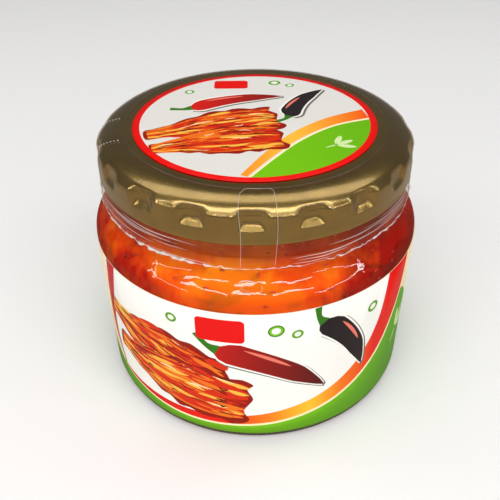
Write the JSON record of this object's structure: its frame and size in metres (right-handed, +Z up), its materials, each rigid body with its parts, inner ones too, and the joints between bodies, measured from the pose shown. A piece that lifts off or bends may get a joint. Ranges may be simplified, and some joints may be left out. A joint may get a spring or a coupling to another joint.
{
  "type": "kimchi jar",
  "caption": "Squat clear glass jar filled with kimchi in red brine, shut by a gold twist-off cap with pressed grips, printed paper labels and a clear shrink film round the neck",
  "frame": {"origin": "centre of the flat ring on which the jar stands", "axes": "+Z up along the jar's axis, -Y towards the front of the label, +X to the right of it"},
  "size_m": [0.0922, 0.0922, 0.0765],
  "materials": {
    "glass": "clear, smooth",
    "kimchi": "wet cabbage coated with chilli paste",
    "brine": "clear orange-red liquid",
    "chilli": "wet flakes",
    "cap_gold": "gold lacquer on tinplate, glossy",
    "cap_paper": "coated paper, printed",
    "label_paper": "coated paper, printed, glossy",
    "film": "clear shrunk plastic film, glossy, wrinkled at its edge"
  },
  "bodies": {
    "root": {"jar_glass": "glass", "kimchi": "kimchi", "cap": "cap_gold", "cap_label": "cap_paper", "body_label": "label_paper", "shrink_film": "film"}
  },
  "joints": []
}
